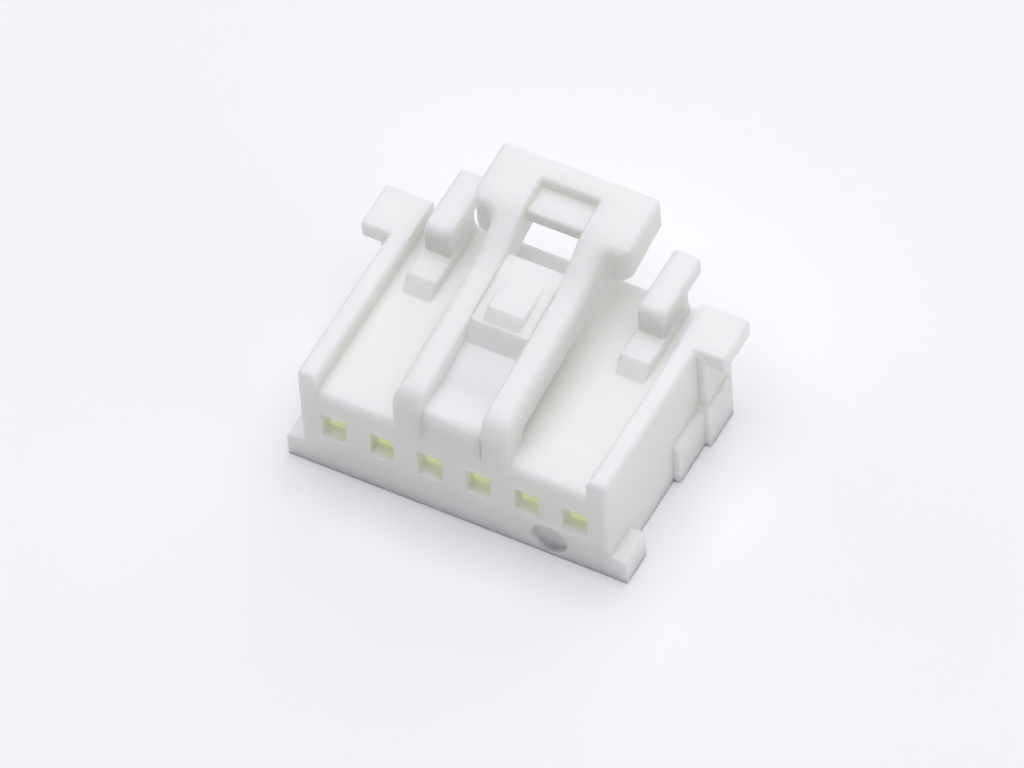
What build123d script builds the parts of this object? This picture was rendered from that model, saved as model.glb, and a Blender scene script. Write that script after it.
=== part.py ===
from build123d import *
import os

os.makedirs("parts", exist_ok=True)

# Wire to board connector housing: one moulding with a row of terminal cavities and a
# cantilever latch on top. Sizes are in millimetres. X runs along the row, Y from the
# mating face at the front to the wire side at the back, Z up from the flat underside.
# "Behind" is always measured from the mating face.

# Row of terminals
ways = 6
pitch = 1.5
end_margin = 1.05

# Body block
body_length = 7.25
body_height = 3.25
corner_round = 0.16
top_front_round = 0.28
top_back_round = 0.1

# Small radius on the edges of everything that stands on the body
edge_round = 0.08
step_round = 0.06

# Cavity behind each pin window, and its mouth at the back
cavity_width = 1.05
floor_wall = 0.95
roof_wall = 0.4
front_wall = 0.5
mouth_chamfer = 0.12
window_width = 0.75
window_height = 0.93
window_round = 0.05

# Window in the underside where the lance of each terminal locks
lance_width = 0.7
lance_behind = 2.6
lance_length = 1.7

# Rails along both sides of the top
rail_width = 0.6
rail_rise = 0.68

# Foot flange at the front
flange_reach = 0.5
flange_depth = 1.3
flange_height = 0.88
flange_corner = 0.18
flange_round = 0.14

# Shallow band along the bottom of the mating face, and the gate recess in it
band_height = 1.3
band_depth = 0.04
gate_across = 2.88
gate_height = 0.64
gate_radius = 0.56
gate_depth = 0.25

# Wings at the back, level with the tops of the rails
wing_reach = 0.88
wing_behind = 5.43
wing_length = 1.55
wing_thickness = 0.59

# Stepped key on each side, under the wing
key_reach = 0.21
key_behind = 3.78
key_height = 1.43
stop_reach = 0.39
stop_behind = 5.27
stop_length = 1.41
stop_height = 1.58
post_reach = 0.27
post_behind = 5.4
post_length = 1.5

# Guard beside the latch: a low ramped pad with an upright ear that overhangs the back
guard_across = 3.33
pad_width = 0.92
pad_behind = 4.2
pad_run = 0.4
pad_rise = 0.43
ear_width = 0.84
ear_behind = 5.55
ear_reach = 7.83
ear_top = 4.65
ear_overhang = 0.56
ear_round = 0.36

# Latch lever: two arms that rise from the front, joined behind by a wide head
lever_width = 3.54
lever_tail_width = 3.4
lever_front_round = 0.75
lever_edge_round = 0.3
gap_edge_round = 0.1
head_edge_round = 0.12
lever_top = 4.66
lever_bend_behind = 4.78
lever_bend_top = 5.27
lever_bend_round = 2.2
head_width = 4.88
head_front_behind = 6.4
head_front_top = 6.17
head_front_round = 1.7
head_reach = 8.11
head_top = 6.28
head_bottom = 5.22
shoulder_behind = 6.05
shoulder_inner_round = 0.3
shoulder_outer_round = 0.4

# Open space under the lever, from the root at the front to the back
root_length = 0.9
slot_top = 3.84
slot_round = 0.25
under_bend_behind = 4.8
under_bend_top = 4.21
under_head_behind = 6.25
under_head_top = 4.9
under_round = 0.8

# Gap between the arms: thin web, ledge, lock block, open window and shelf in the head
gap_width = 1.8
web_top = 4.16
web_round = 0.4
web_bend_behind = 1.35
web_ramp_behind = 2.62
web_ramp_top = 4.42
ledge_behind = 3.02
ledge_top = 4.98
ledge_round = 0.06
lock_width = 1.14
lock_behind = 3.08
lock_face_behind = 3.42
lock_top = 5.28
plateau_top = 5.22
plateau_end_behind = 5.36
shelf_behind = 6.46
shelf_top = 5.84
shelf_thickness = 0.47
gap_back_behind = 7.4

# How steeply a face's normal points up when the face is seen from above, and when it is upright
seen_from_above = 0.2
nearly_upright = 0.1

# Sizes that follow from those above
body_width = (ways - 1) * pitch + 2 * end_margin
rail_top = body_height + rail_rise
pad_top = body_height + pad_rise
cavity_height = body_height - floor_wall - roof_wall
row_height = floor_wall + cavity_height / 2
root_bottom = floor_wall + cavity_height
front = -head_reach / 2


def faces_up(skin):
    """True for a face that leans back far enough to be seen from above."""
    return skin.normal_at().Z > seen_from_above


def stands_up(skin):
    """True for an upright face."""
    return abs(skin.normal_at().Z) < nearly_upright


def level(height):
    """Horizontal plane at a height: its local Y is the distance behind the mating face."""
    return Plane(origin=(0, front, height), x_dir=(1, 0, 0), z_dir=(0, 0, 1))


def upright(across):
    """Lengthwise plane: local X is the distance behind the mating face, local Y the height."""
    return Plane(origin=(across, front, 0), x_dir=(0, 1, 0), z_dir=(1, 0, 0))


def facing(behind):
    """Plane parallel to the mating face: local X runs along the row, local Y is the height."""
    return Plane(origin=(0, front + behind, 0), x_dir=(1, 0, 0), z_dir=(0, -1, 0))


def lever_side(front_round):
    """Side view of the lever and its head, with the front top corner rounded."""
    FilletPolyline(
        (0, root_bottom),
        (0, lever_top),
        (lever_bend_behind, lever_bend_top),
        (head_front_behind, head_front_top),
        (head_reach, head_top),
        (head_reach, head_bottom),
        (under_head_behind, under_head_top),
        (under_bend_behind, under_bend_top),
        (root_length, slot_top),
        (root_length, root_bottom),
        radius=[
            0,
            front_round,
            lever_bend_round,
            head_front_round,
            0,
            0,
            under_round,
            under_round,
            slot_round,
            0,
        ],
        close=True,
    )


def lever_plan(outer_round):
    """Top view of the lever and its head, with the head's front corners rounded."""
    FilletPolyline(
        (-lever_width / 2, 0),
        (-lever_tail_width / 2, shoulder_behind),
        (-head_width / 2, shoulder_behind),
        (-head_width / 2, head_reach),
        (head_width / 2, head_reach),
        (head_width / 2, shoulder_behind),
        (lever_tail_width / 2, shoulder_behind),
        (lever_width / 2, 0),
        radius=[
            0,
            shoulder_inner_round,
            outer_round,
            0,
            0,
            outer_round,
            shoulder_inner_round,
            0,
        ],
        close=True,
    )


# Latch: one side profile, cut by one plan outline
with BuildPart() as latch:
    with BuildSketch(upright(0)):
        with BuildLine():
            lever_side(0)
        make_face()
    extrude(amount=head_width / 2, both=True)
    with BuildSketch(level(0)):
        with BuildLine():
            lever_plan(0)
        make_face()
    extrude(amount=head_top, mode=Mode.INTERSECT)

    # Soft outer edges along the arms, the neck and the front of the head
    upper = latch.faces().filter_by(faces_up)
    flanks = latch.faces().filter_by(stands_up).filter_by(
        lambda wall: gap_width / 2 < abs(wall.center().X) < head_width / 2 - corner_round
    )
    fillet(flanks.edges() & upper.edges(), radius=lever_edge_round)

    # Finer edges round the sides and the back of the head
    upper = latch.faces().filter_by(faces_up)
    sides = latch.faces().filter_by(Axis.X).group_by(Axis.X)
    rear = latch.faces().filter_by(Axis.Y).sort_by(Axis.Y)[-1]
    ends = sides[0] + sides[-1] + [rear]
    corners = rear.edges().filter_by(Axis.Z)
    fillet((ends.edges() & upper.edges()) + corners, radius=head_edge_round)

    # Rounded nose and rounded front corners of the head
    with BuildSketch(upright(0)):
        with BuildLine():
            lever_side(lever_front_round)
        make_face()
    extrude(amount=head_width / 2, both=True, mode=Mode.INTERSECT)
    with BuildSketch(level(0)):
        with BuildLine():
            lever_plan(shoulder_outer_round)
        make_face()
    extrude(amount=head_top, mode=Mode.INTERSECT)

    # Gap between the arms, right through
    with BuildSketch(level(0)):
        with Locations((0, gap_back_behind / 2)):
            Rectangle(gap_width, gap_back_behind)
    extrude(amount=head_top, mode=Mode.SUBTRACT)
    rim = latch.faces(Select.LAST).filter_by(stands_up)
    upper = latch.faces().filter_by(faces_up)
    fillet(rim.edges() & upper.edges(), radius=gap_edge_round)

    # Web that closes the front of the gap: ramp, ledge and plateau
    with BuildSketch(upright(0)):
        with BuildLine():
            FilletPolyline(
                (0, root_bottom),
                (0, web_top),
                (web_bend_behind, web_top),
                (web_ramp_behind, web_ramp_top),
                (ledge_behind, ledge_top),
                (lever_bend_behind, plateau_top),
                (plateau_end_behind, plateau_top),
                (plateau_end_behind, under_bend_top),
                (under_bend_behind, under_bend_top),
                (root_length, slot_top),
                (root_length, root_bottom),
                radius=[0, web_round, 0, 0, ledge_round, 0, ledge_round, 0, 0, slot_round, 0],
                close=True,
            )
        make_face()
    extrude(amount=gap_width / 2, both=True)

# Lock block on the ledge, narrower than the gap
with BuildPart() as lock:
    with BuildSketch(upright(0)):
        with BuildLine():
            Polyline(
                (lock_behind, under_bend_top),
                (lock_behind, ledge_top),
                (lock_face_behind, lock_top),
                (lever_bend_behind, plateau_top),
                (lever_bend_behind, under_bend_top),
                close=True,
            )
        make_face()
    extrude(amount=lock_width / 2, both=True)
    fillet(lock.faces().filter_by(faces_up).edges(), radius=ledge_round)

# Shelf sunk in the head, at the back of the window
with BuildPart() as shelf:
    with BuildSketch(upright(0)):
        with Locations(((shelf_behind + gap_back_behind) / 2, shelf_top - shelf_thickness / 2)):
            Rectangle(gap_back_behind - shelf_behind, shelf_thickness)
    extrude(amount=gap_width / 2, both=True)
    fillet(shelf.edges().filter_by(Axis.X).group_by(Axis.Y)[0], radius=edge_round)

# One rail, with its top edges rounded
with BuildPart() as rail:
    with BuildSketch(level(0)):
        with Locations((body_width / 2 - rail_width / 2, (wing_behind + wing_length) / 2)):
            Rectangle(rail_width, wing_behind + wing_length)
    extrude(amount=rail_top)
    top_edges = rail.faces().sort_by(Axis.Z)[-1].edges()
    front_outer = rail.edges().filter_by(Axis.Z).group_by(Axis.X)[-1].sort_by(Axis.Y)[0]
    fillet(top_edges + [front_outer], radius=corner_round)

# One end of the foot flange
with BuildPart() as flange:
    with BuildSketch(level(0)):
        with Locations((body_width / 2, flange_depth / 2)):
            Rectangle(2 * flange_reach, flange_depth)
    extrude(amount=flange_height)
    outer_corner = flange.edges().filter_by(Axis.Z).group_by(Axis.X)[-1].sort_by(Axis.Y)[-1]
    fillet(outer_corner, radius=flange_corner)
    outer_top = flange.faces().sort_by(Axis.Z)[-1].edges().filter_by(Axis.X, reverse=True)
    fillet(outer_top.sort_by(Axis.X)[1:], radius=flange_round)

# One wing
with BuildPart() as wing:
    with BuildSketch(level(rail_top - wing_thickness)):
        with Locations((body_width / 2 + wing_reach / 2 - rail_width / 2, wing_behind + wing_length / 2)):
            Rectangle(wing_reach + rail_width, wing_length)
    extrude(amount=wing_thickness)
    tip = wing.faces().sort_by(Axis.X)[-1]
    fillet(tip.edges() + wing.edges().filter_by(Axis.X), radius=edge_round)

# The three steps of one key: low step, stop, and post up to the wing
steps = []
for behind, length, reach, height in (
    (key_behind, stop_behind + stop_length - key_behind, key_reach, key_height),
    (stop_behind, stop_length, stop_reach, stop_height),
    (post_behind, post_length, post_reach, rail_top - wing_thickness / 2),
):
    with BuildPart() as step:
        with BuildSketch(level(0)):
            with Locations((body_width / 2, behind + length / 2)):
                Rectangle(2 * reach, length)
        extrude(amount=height)
        outer = step.faces().sort_by(Axis.X)[-1]
        fillet(outer.edges().sort_by(Axis.Z)[1:], radius=step_round)
    steps.append(step)

# Pad of one guard, with a ramp at its front
with BuildPart() as pad:
    with BuildSketch(upright(guard_across)):
        with BuildLine():
            Polyline(
                (pad_behind, body_height - pad_rise),
                (pad_behind, body_height),
                (pad_behind + pad_run, pad_top),
                (wing_behind + wing_length, pad_top),
                (wing_behind + wing_length, body_height - pad_rise),
                close=True,
            )
        make_face()
    extrude(amount=pad_width / 2, both=True)
    pad_sides = pad.faces().filter_by(Axis.X)
    fillet(pad_sides.edges() & pad.faces().filter_by(faces_up).edges(), radius=step_round)

# Ear of one guard, upright on the pad
with BuildPart() as ear:
    with BuildSketch(upright(guard_across)):
        with BuildLine():
            FilletPolyline(
                (ear_behind, body_height),
                (ear_behind, ear_top),
                (ear_reach, ear_top),
                (ear_reach, ear_top - ear_overhang),
                (wing_behind + wing_length, ear_top - ear_overhang),
                (wing_behind + wing_length, body_height),
                radius=[0, ear_round, 0, 0, 0, 0],
                close=True,
            )
        make_face()
    extrude(amount=ear_width / 2, both=True)
    outline = ear.faces().filter_by(Axis.X).edges().filter_by(
        lambda edge: edge.center().Z > pad_top
    )
    fillet(outline, radius=edge_round)

# Housing
with BuildPart() as housing:
    # Body block, with the front edge of its top rounded
    with BuildSketch(upright(0)):
        with BuildLine():
            FilletPolyline(
                (0, 0),
                (0, body_height),
                (body_length, body_height),
                (body_length, 0),
                radius=[0, top_front_round, top_back_round, 0],
                close=True,
            )
        make_face()
    extrude(amount=body_width / 2, both=True)
    fillet(housing.edges().filter_by(Axis.Z).group_by(Axis.Y)[0], radius=corner_round)

    # What stands on both sides and on top
    for detail in (rail, flange, wing, pad, ear, *steps):
        add(detail.part)
        mirror(detail.part, about=Plane.YZ)
    for detail in (latch, lock, shelf):
        add(detail.part)

    # Band and gate recess in the mating face
    with BuildSketch(facing(0)):
        with Locations((0, band_height / 2)):
            Rectangle(body_width + 2 * flange_reach, band_height)
    extrude(amount=-band_depth, mode=Mode.SUBTRACT)
    with BuildSketch(facing(0)):
        with Locations((gate_across, gate_height)):
            Circle(gate_radius)
    extrude(amount=-gate_depth, mode=Mode.SUBTRACT)

    # Cavities from the back, pin windows from the front
    with BuildSketch(facing(body_length)):
        with Locations((0, row_height)):
            with GridLocations(pitch, 0, ways, 1):
                Rectangle(cavity_width, cavity_height)
    extrude(amount=body_length - front_wall, mode=Mode.SUBTRACT)
    mouths = housing.faces().filter_by(Axis.Y).filter_by_position(
        Axis.Y, front + body_length, front + body_length
    )
    chamfer(mouths.sort_by(SortBy.AREA)[-1].inner_wires().edges(), length=mouth_chamfer)
    with BuildSketch(facing(0)):
        with Locations((0, row_height)):
            with GridLocations(pitch, 0, ways, 1):
                Rectangle(window_width, window_height)
    extrude(amount=-front_wall, mode=Mode.SUBTRACT)
    fillet(housing.edges(Select.LAST).filter_by_position(Axis.Y, front, front), radius=window_round)

    # Lance windows in the underside
    with BuildSketch(level(0)):
        with Locations((0, lance_behind + lance_length / 2)):
            with GridLocations(pitch, 0, ways, 1):
                Rectangle(lance_width, lance_length)
    extrude(amount=row_height, mode=Mode.SUBTRACT)

housing.part.label = "housing"
export_step(housing.part, "parts/housing.step")
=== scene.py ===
import math

import bpy
from mathutils import Matrix, Vector

# A six way wire to board connector housing, one white moulding, lying on a pale table
# under soft light. X runs along the row, Y from the pin windows at the front to the wire
# side at the back, Z up. Lengths are in metres, and those given in millimetres carry MM.
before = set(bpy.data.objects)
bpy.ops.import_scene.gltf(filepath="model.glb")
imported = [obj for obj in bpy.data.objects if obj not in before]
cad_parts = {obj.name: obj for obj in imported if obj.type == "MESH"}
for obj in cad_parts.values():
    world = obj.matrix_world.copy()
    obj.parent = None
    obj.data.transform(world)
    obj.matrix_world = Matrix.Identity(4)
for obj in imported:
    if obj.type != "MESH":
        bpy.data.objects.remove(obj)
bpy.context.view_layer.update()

MM = 0.001
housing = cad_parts["housing"]

# Camera, fitted to the part's own edges: a long lens, looking down at the front right
AZIMUTH = 31.0958
ELEVATION = 51.5278
ROLL = -4.3066
LENS = 480.2
SENSOR = 36.0
TARGET = Vector((-0.0098, -0.5566, 2.0)) * MM
DISTANCE = 377.29 * MM
NEAREST = 0.01
FARTHEST = 10.0

# Marks that the mould and the melt leave: how wide each pattern is, and how deep
CLOUD = 1.5 * MM
SHEEN_PATCH = 0.5 * MM
GRAIN = 0.05 * MM
GRAIN_DEPTH = 0.0015 * MM
WAVE = 2.0 * MM
WAVE_DEPTH = 0.02 * MM

# Roughness where the mould wall is most and least polished
POLISHED = 0.38
DULL = 0.52

# Bending of light by the plastics
PBT_IOR = 1.5
ACRYLIC_IOR = 1.49

# How far light travels in the plastic, blue light a little less far
SOAK = 0.6 * MM
SOAK_BY_COLOUR = (1.0, 1.0, 0.85)

# Painted glow inside the cavities, in place of light soaking through the walls: how strong it
# is, and where along Y it starts and is at its strongest
PAINTED_GLOW = 0.165
PAINTED_GLOW_STARTS = 3.2 * MM
PAINTED_GLOW_FULL = -0.5 * MM

# Space that the six cavities take up inside the walls: its middle, and its reach to each side.
# The painted glow fades in over the last tenth of the reach.
CAVITIES_MIDDLE = tuple(Vector((0, -0.1, 1.9)) * MM)
CAVITIES_REACH = tuple(Vector((4.75, 3.5, 1.15)) * MM)
CAVITIES_EDGE = 0.9

# Table: just below the part, so that the two faces aren't in one plane
TABLE_SIZE = 6.0
TABLE_GAP = 0.02 * MM
TABLE_ROUGHNESS = 0.6

# Soft boxes: the point that they all face, then the name, side of the square, place, power
# in watts and colour of each
LIT_POINT = Vector((0, 0, 0))
SOFT_BOXES = (
    ("overhead", 0.8, (0, 0, 0.7), 4.7, "#f5f6ff"),
    ("right", 0.6, (0.7, 0, 0.45), 1.25, "#ffffff"),
    ("rear", 0.6, (0, 0.7, 0.45), 1.8, "#ffffff"),
    ("left", 0.6, (-0.7, 0, 0.45), 1.05, "#ffffff"),
    ("front", 0.6, (0, -0.7, 0.45), 0.1, "#ffffff"),
)
ROOM_STRENGTH = 0.02


def linear(colour):
    """sRGB hex to linear RGBA."""
    shades = []
    for start in (1, 3, 5):
        value = int(colour[start:start + 2], 16) / 255
        shades.append(value / 12.92 if value <= 0.04045 else ((value + 0.055) / 1.055) ** 2.4)
    return (*shades, 1.0)


def add_node(tree, kind, settings=None, values=None, links=None):
    """Add a node, set its properties and socket values, and link its sockets to outputs."""
    node = tree.nodes.new(kind)
    for name, value in (settings or {}).items():
        setattr(node, name, value)
    for name, value in (values or {}).items():
        node.inputs[name].default_value = value
    for name, source in (links or {}).items():
        tree.links.new(source, node.inputs[name])
    return node


def empty_material(name):
    """A material with nothing in its node tree."""
    material = bpy.data.materials.new(name)
    material.use_nodes = True
    material.node_tree.nodes.clear()
    return material


def moulded_pbt():
    """Natural PBT, injection moulded: soft white, a little light goes through thin walls, and a
    painted glow inside the cavities stands in for more of that light.
    """
    material = empty_material("moulded_natural_pbt")
    tree = material.node_tree
    place = add_node(tree, "ShaderNodeTexCoord").outputs["Object"]

    # Flow of the melt: faint clouds keep the broad faces from looking drawn
    clouds = add_node(
        tree,
        "ShaderNodeTexNoise",
        values={"Scale": 1 / CLOUD, "Detail": 3.0, "Roughness": 0.6},
        links={"Vector": place},
    )
    shade = add_node(
        tree,
        "ShaderNodeMix",
        {"data_type": "RGBA"},
        {"A": linear("#f0f0ed"), "B": linear("#f4f3f0")},
        {"Factor": clouds.outputs["Fac"]},
    )

    # Mould wall: patches more and less polished break up the soft sheen
    wear = add_node(
        tree,
        "ShaderNodeTexNoise",
        values={"Scale": 1 / SHEEN_PATCH, "Detail": 2.0},
        links={"Vector": place},
    )
    sheen = add_node(
        tree,
        "ShaderNodeMapRange",
        values={"To Min": POLISHED, "To Max": DULL},
        links={"Value": wear.outputs["Fac"]},
    )

    # Spark eroded mould grain: really 0.02 mm across, drawn coarser so that it shows at all
    grain = add_node(
        tree,
        "ShaderNodeTexNoise",
        values={"Scale": 1 / GRAIN, "Detail": 1.0},
        links={"Vector": place},
    )
    # Slow unevenness from shrinkage: it keeps the flat faces from looking machined
    waves = add_node(
        tree,
        "ShaderNodeTexNoise",
        values={"Scale": 1 / WAVE, "Detail": 0.0},
        links={"Vector": place},
    )
    shrunk = add_node(
        tree,
        "ShaderNodeBump",
        values={"Strength": 1.0, "Distance": WAVE_DEPTH},
        links={"Height": waves.outputs["Fac"]},
    )
    grained = add_node(
        tree,
        "ShaderNodeBump",
        values={"Strength": 1.0, "Distance": GRAIN_DEPTH},
        links={"Height": grain.outputs["Fac"], "Normal": shrunk.outputs["Normal"]},
    )

    # Painted light: the daylight that soaks through the thin walls and shows yellow green behind
    # the windows is painted as a faint emitted glow inside the cavities, weaker towards their
    # mouths.
    inside = add_node(
        tree,
        "ShaderNodeMapping",
        {"vector_type": "TEXTURE"},
        {"Location": CAVITIES_MIDDLE, "Scale": CAVITIES_REACH},
        {"Vector": place},
    )
    away = add_node(
        tree,
        "ShaderNodeVectorMath",
        {"operation": "ABSOLUTE"},
        links={0: inside.outputs[0]},
    )
    axes = add_node(tree, "ShaderNodeSeparateXYZ", links={0: away.outputs[0]})
    level = add_node(
        tree,
        "ShaderNodeMath",
        {"operation": "MAXIMUM"},
        links={0: axes.outputs["X"], 1: axes.outputs["Y"]},
    )
    farthest = add_node(
        tree,
        "ShaderNodeMath",
        {"operation": "MAXIMUM"},
        links={0: level.outputs[0], 1: axes.outputs["Z"]},
    )
    lengthwise = add_node(tree, "ShaderNodeSeparateXYZ", links={0: place})
    painted_glow_by_y = add_node(
        tree,
        "ShaderNodeMapRange",
        {"interpolation_type": "SMOOTHSTEP"},
        {"From Min": PAINTED_GLOW_STARTS, "From Max": PAINTED_GLOW_FULL, "To Min": 0.0, "To Max": PAINTED_GLOW},
        {"Value": lengthwise.outputs["Y"]},
    )
    painted_glow = add_node(
        tree,
        "ShaderNodeMapRange",
        values={"From Min": 1.0, "From Max": CAVITIES_EDGE, "To Min": 0.0},
        links={"Value": farthest.outputs[0], "To Max": painted_glow_by_y.outputs["Result"]},
    )

    surface = add_node(
        tree,
        "ShaderNodeBsdfPrincipled",
        {"subsurface_method": "RANDOM_WALK"},
        {
            "IOR": PBT_IOR,
            "Subsurface Weight": 1.0,
            "Subsurface Radius": SOAK_BY_COLOUR,
            "Subsurface Scale": SOAK,
            # Yellow green colour of the painted glow in the cavities
            "Emission Color": linear("#f4fcc0"),
        },
        {
            "Base Color": shade.outputs["Result"],
            "Roughness": sheen.outputs["Result"],
            "Normal": grained.outputs["Normal"],
            "Emission Strength": painted_glow.outputs["Result"],
        },
    )
    add_node(tree, "ShaderNodeOutputMaterial", links={"Surface": surface.outputs["BSDF"]})
    return material


def table_top():
    """Matt white acrylic sheet: the pale, even backdrop."""
    material = empty_material("matt_white_acrylic")
    tree = material.node_tree
    surface = add_node(
        tree,
        "ShaderNodeBsdfPrincipled",
        values={
            "Base Color": linear("#fdfdfd"),
            "Roughness": TABLE_ROUGHNESS,
            "IOR": ACRYLIC_IOR,
        },
    )
    add_node(tree, "ShaderNodeOutputMaterial", links={"Surface": surface.outputs["BSDF"]})
    return material


def soft_box(name, side, place, power, colour):
    """A square area light that faces the lit point, and that the camera doesn't see."""
    lamp = bpy.data.lights.new(name, "AREA")
    lamp.shape = "SQUARE"
    lamp.size = side
    lamp.energy = power
    lamp.color = linear(colour)[:3]
    holder = bpy.data.objects.new(name, lamp)
    bpy.context.scene.collection.objects.link(holder)
    holder.location = place
    facing = LIT_POINT - Vector(place)
    holder.rotation_euler = facing.to_track_quat("-Z", "Y").to_euler()
    holder.visible_camera = False


# The moulding
housing.data.materials.clear()
housing.data.materials.append(moulded_pbt())

# Table
bpy.ops.object.select_all(action="DESELECT")
bpy.ops.mesh.primitive_plane_add(size=TABLE_SIZE, location=(0, 0, -TABLE_GAP))
table = bpy.context.object
table.name = "table"
table.data.materials.append(table_top())

# Light: soft boxes all round, the strongest overhead, and a trace from the room
for box in SOFT_BOXES:
    soft_box(*box)
room = bpy.data.worlds.new("room")
room.use_nodes = True
background = room.node_tree.nodes["Background"]
background.inputs["Color"].default_value = linear("#ffffff")
background.inputs["Strength"].default_value = ROOM_STRENGTH
bpy.context.scene.world = room
bpy.context.scene.view_settings.view_transform = "Standard"

# Camera at the photograph's angle: its own back, right and up axes, the last two rolled
azimuth, elevation, roll = (math.radians(angle) for angle in (AZIMUTH, ELEVATION, ROLL))
back = Vector((
    math.sin(azimuth) * math.cos(elevation),
    -math.cos(azimuth) * math.cos(elevation),
    math.sin(elevation),
))
level_right = Vector((math.cos(azimuth), math.sin(azimuth), 0))
level_up = back.cross(level_right)
right = math.cos(roll) * level_right + math.sin(roll) * level_up
up = -math.sin(roll) * level_right + math.cos(roll) * level_up
lens = bpy.data.cameras.new("camera")
lens.sensor_width = SENSOR
lens.lens = LENS
lens.clip_start = NEAREST
lens.clip_end = FARTHEST
camera = bpy.data.objects.new("camera", lens)
bpy.context.scene.collection.objects.link(camera)
turned = Matrix((right, up, back)).transposed().to_4x4()
camera.matrix_world = Matrix.Translation(TARGET + DISTANCE * back) @ turned
bpy.context.scene.camera = camera
